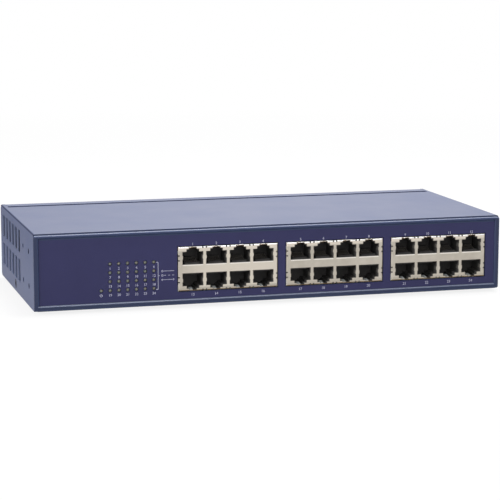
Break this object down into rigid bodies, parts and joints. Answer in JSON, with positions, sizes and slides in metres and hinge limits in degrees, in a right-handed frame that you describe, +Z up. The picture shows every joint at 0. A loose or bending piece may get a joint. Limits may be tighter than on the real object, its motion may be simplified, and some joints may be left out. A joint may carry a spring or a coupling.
{
  "type": "rackmount network switch",
  "caption": "Low folded steel case with a recessed front panel of stacked modular jacks in three blocks, a field of small lamps, slotted sides, rack ear holes and a mains inlet at the back.",
  "frame": {"origin": "centre of the case on the surface that the four feet stand on", "axes": "+X along the width, to the right seen from the front; +Y from the front panel to the rear wall; +Z up"},
  "size_m": [0.28, 0.125, 0.046],
  "materials": {
    "blue_paint": "semi-gloss powder coat",
    "printed_film": "fine matt",
    "rubber": "matt",
    "black_screws": "black zinc",
    "plated_shield": "satin tin plate",
    "black_plastic": "fine matt",
    "contact_metal": "gold plate",
    "green_board": "solder mask",
    "brown_board": "satin laminate",
    "zinc_steel": "bright zinc",
    "bare_aluminium": "satin",
    "dark_ferrite": "dull",
    "sleeved_can": "shrink sleeve",
    "clear_epoxy": "clear",
    "blade_metal": "nickel plate",
    "copper_winding": "enamelled wire on a ferrite ring",
    "yellow_plastic": "satin",
    "fuse_glass": "clear",
    "wire_cover": "satin",
    "white_plastic": "satin"
  },
  "bodies": {
    "chassis": {"base_tray": "blue_paint", "top_cover": "blue_paint", "front_overlay": "printed_film", "rubber_feet": "rubber", "countersunk_screws": "black_screws", "jack_shield_left": "plated_shield", "jack_shield_middle": "plated_shield", "jack_shield_right": "plated_shield", "jack_housing_left": "black_plastic", "jack_housing_middle": "black_plastic", "jack_housing_right": "black_plastic", "contact_carriers": "black_plastic", "jack_terminals": "contact_metal", "main_board": "green_board", "board_standoffs": "zinc_steel", "board_screws": "zinc_steel", "switch_chip": "black_plastic", "chip_heatsink": "bare_aluminium", "line_transformers": "black_plastic", "clock_crystal": "zinc_steel", "regulator_parts": "dark_ferrite", "small_chips": "black_plastic", "electrolytic_capacitors": "sleeved_can", "led_holder": "black_plastic", "led_lamps": "clear_epoxy", "power_board": "brown_board", "mains_inlet": "black_plastic", "inlet_blades": "blade_metal", "power_transformer": "dark_ferrite", "line_filter_choke": "copper_winding", "filter_capacitor": "yellow_plastic", "fuse": "fuse_glass", "power_heatsinks": "bare_aluminium", "power_semiconductors": "black_plastic", "dc_cable": "wire_cover", "dc_connectors": "white_plastic"},
    "contacts_01": {"contacts_01": "contact_metal"},
    "contacts_02": {"contacts_02": "contact_metal"},
    "contacts_03": {"contacts_03": "contact_metal"},
    "contacts_04": {"contacts_04": "contact_metal"},
    "contacts_05": {"contacts_05": "contact_metal"},
    "contacts_06": {"contacts_06": "contact_metal"},
    "contacts_07": {"contacts_07": "contact_metal"},
    "contacts_08": {"contacts_08": "contact_metal"},
    "contacts_09": {"contacts_09": "contact_metal"},
    "contacts_10": {"contacts_10": "contact_metal"},
    "contacts_11": {"contacts_11": "contact_metal"},
    "contacts_12": {"contacts_12": "contact_metal"},
    "contacts_13": {"contacts_13": "contact_metal"},
    "contacts_14": {"contacts_14": "contact_metal"},
    "contacts_15": {"contacts_15": "contact_metal"},
    "contacts_16": {"contacts_16": "contact_metal"},
    "contacts_17": {"contacts_17": "contact_metal"},
    "contacts_18": {"contacts_18": "contact_metal"},
    "contacts_19": {"contacts_19": "contact_metal"},
    "contacts_20": {"contacts_20": "contact_metal"},
    "contacts_21": {"contacts_21": "contact_metal"},
    "contacts_22": {"contacts_22": "contact_metal"},
    "contacts_23": {"contacts_23": "contact_metal"},
    "contacts_24": {"contacts_24": "contact_metal"}
  },
  "joints": [
    {"name": "contacts_01_flex", "type": "hinge", "parent": "chassis", "child": "contacts_01", "pos_m": [-0.04845, -0.05915, 0.02525], "axis": [-1, 0, 0], "range_deg": [0, 10], "stiffness_Nm_per_rad": 0.3},
    {"name": "contacts_02_flex", "type": "hinge", "parent": "chassis", "child": "contacts_02", "pos_m": [-0.03449, -0.05915, 0.02525], "axis": [-1, 0, 0], "range_deg": [0, 10], "stiffness_Nm_per_rad": 0.3},
    {"name": "contacts_03_flex", "type": "hinge", "parent": "chassis", "child": "contacts_03", "pos_m": [-0.02051, -0.05915, 0.02525], "axis": [-1, 0, 0], "range_deg": [0, 10], "stiffness_Nm_per_rad": 0.3},
    {"name": "contacts_04_flex", "type": "hinge", "parent": "chassis", "child": "contacts_04", "pos_m": [-0.00654, -0.05915, 0.02525], "axis": [-1, 0, 0], "range_deg": [0, 10], "stiffness_Nm_per_rad": 0.3},
    {"name": "contacts_05_flex", "type": "hinge", "parent": "chassis", "child": "contacts_05", "pos_m": [0.01605, -0.05915, 0.02525], "axis": [-1, 0, 0], "range_deg": [0, 10], "stiffness_Nm_per_rad": 0.3},
    {"name": "contacts_06_flex", "type": "hinge", "parent": "chassis", "child": "contacts_06", "pos_m": [0.03002, -0.05915, 0.02525], "axis": [-1, 0, 0], "range_deg": [0, 10], "stiffness_Nm_per_rad": 0.3},
    {"name": "contacts_07_flex", "type": "hinge", "parent": "chassis", "child": "contacts_07", "pos_m": [0.04399, -0.05915, 0.02525], "axis": [-1, 0, 0], "range_deg": [0, 10], "stiffness_Nm_per_rad": 0.3},
    {"name": "contacts_08_flex", "type": "hinge", "parent": "chassis", "child": "contacts_08", "pos_m": [0.05795, -0.05915, 0.02525], "axis": [-1, 0, 0], "range_deg": [0, 10], "stiffness_Nm_per_rad": 0.3},
    {"name": "contacts_09_flex", "type": "hinge", "parent": "chassis", "child": "contacts_09", "pos_m": [0.08055, -0.05915, 0.02525], "axis": [-1, 0, 0], "range_deg": [0, 10], "stiffness_Nm_per_rad": 0.3},
    {"name": "contacts_10_flex", "type": "hinge", "parent": "chassis", "child": "contacts_10", "pos_m": [0.09452, -0.05915, 0.02525], "axis": [-1, 0, 0], "range_deg": [0, 10], "stiffness_Nm_per_rad": 0.3},
    {"name": "contacts_11_flex", "type": "hinge", "parent": "chassis", "child": "contacts_11", "pos_m": [0.10848, -0.05915, 0.02525], "axis": [-1, 0, 0], "range_deg": [0, 10], "stiffness_Nm_per_rad": 0.3},
    {"name": "contacts_12_flex", "type": "hinge", "parent": "chassis", "child": "contacts_12", "pos_m": [0.12245, -0.05915, 0.02525], "axis": [-1, 0, 0], "range_deg": [0, 10], "stiffness_Nm_per_rad": 0.3},
    {"name": "contacts_13_flex", "type": "hinge", "parent": "chassis", "child": "contacts_13", "pos_m": [-0.04845, -0.05915, 0.01975], "axis": [1, 0, 0], "range_deg": [0, 10], "stiffness_Nm_per_rad": 0.3},
    {"name": "contacts_14_flex", "type": "hinge", "parent": "chassis", "child": "contacts_14", "pos_m": [-0.03449, -0.05915, 0.01975], "axis": [1, 0, 0], "range_deg": [0, 10], "stiffness_Nm_per_rad": 0.3},
    {"name": "contacts_15_flex", "type": "hinge", "parent": "chassis", "child": "contacts_15", "pos_m": [-0.02051, -0.05915, 0.01975], "axis": [1, 0, 0], "range_deg": [0, 10], "stiffness_Nm_per_rad": 0.3},
    {"name": "contacts_16_flex", "type": "hinge", "parent": "chassis", "child": "contacts_16", "pos_m": [-0.00654, -0.05915, 0.01975], "axis": [1, 0, 0], "range_deg": [0, 10], "stiffness_Nm_per_rad": 0.3},
    {"name": "contacts_17_flex", "type": "hinge", "parent": "chassis", "child": "contacts_17", "pos_m": [0.01605, -0.05915, 0.01975], "axis": [1, 0, 0], "range_deg": [0, 10], "stiffness_Nm_per_rad": 0.3},
    {"name": "contacts_18_flex", "type": "hinge", "parent": "chassis", "child": "contacts_18", "pos_m": [0.03002, -0.05915, 0.01975], "axis": [1, 0, 0], "range_deg": [0, 10], "stiffness_Nm_per_rad": 0.3},
    {"name": "contacts_19_flex", "type": "hinge", "parent": "chassis", "child": "contacts_19", "pos_m": [0.04399, -0.05915, 0.01975], "axis": [1, 0, 0], "range_deg": [0, 10], "stiffness_Nm_per_rad": 0.3},
    {"name": "contacts_20_flex", "type": "hinge", "parent": "chassis", "child": "contacts_20", "pos_m": [0.05795, -0.05915, 0.01975], "axis": [1, 0, 0], "range_deg": [0, 10], "stiffness_Nm_per_rad": 0.3},
    {"name": "contacts_21_flex", "type": "hinge", "parent": "chassis", "child": "contacts_21", "pos_m": [0.08055, -0.05915, 0.01975], "axis": [1, 0, 0], "range_deg": [0, 10], "stiffness_Nm_per_rad": 0.3},
    {"name": "contacts_22_flex", "type": "hinge", "parent": "chassis", "child": "contacts_22", "pos_m": [0.09452, -0.05915, 0.01975], "axis": [1, 0, 0], "range_deg": [0, 10], "stiffness_Nm_per_rad": 0.3},
    {"name": "contacts_23_flex", "type": "hinge", "parent": "chassis", "child": "contacts_23", "pos_m": [0.10848, -0.05915, 0.01975], "axis": [1, 0, 0], "range_deg": [0, 10], "stiffness_Nm_per_rad": 0.3},
    {"name": "contacts_24_flex", "type": "hinge", "parent": "chassis", "child": "contacts_24", "pos_m": [0.12245, -0.05915, 0.01975], "axis": [1, 0, 0], "range_deg": [0, 10], "stiffness_Nm_per_rad": 0.3}
  ]
}
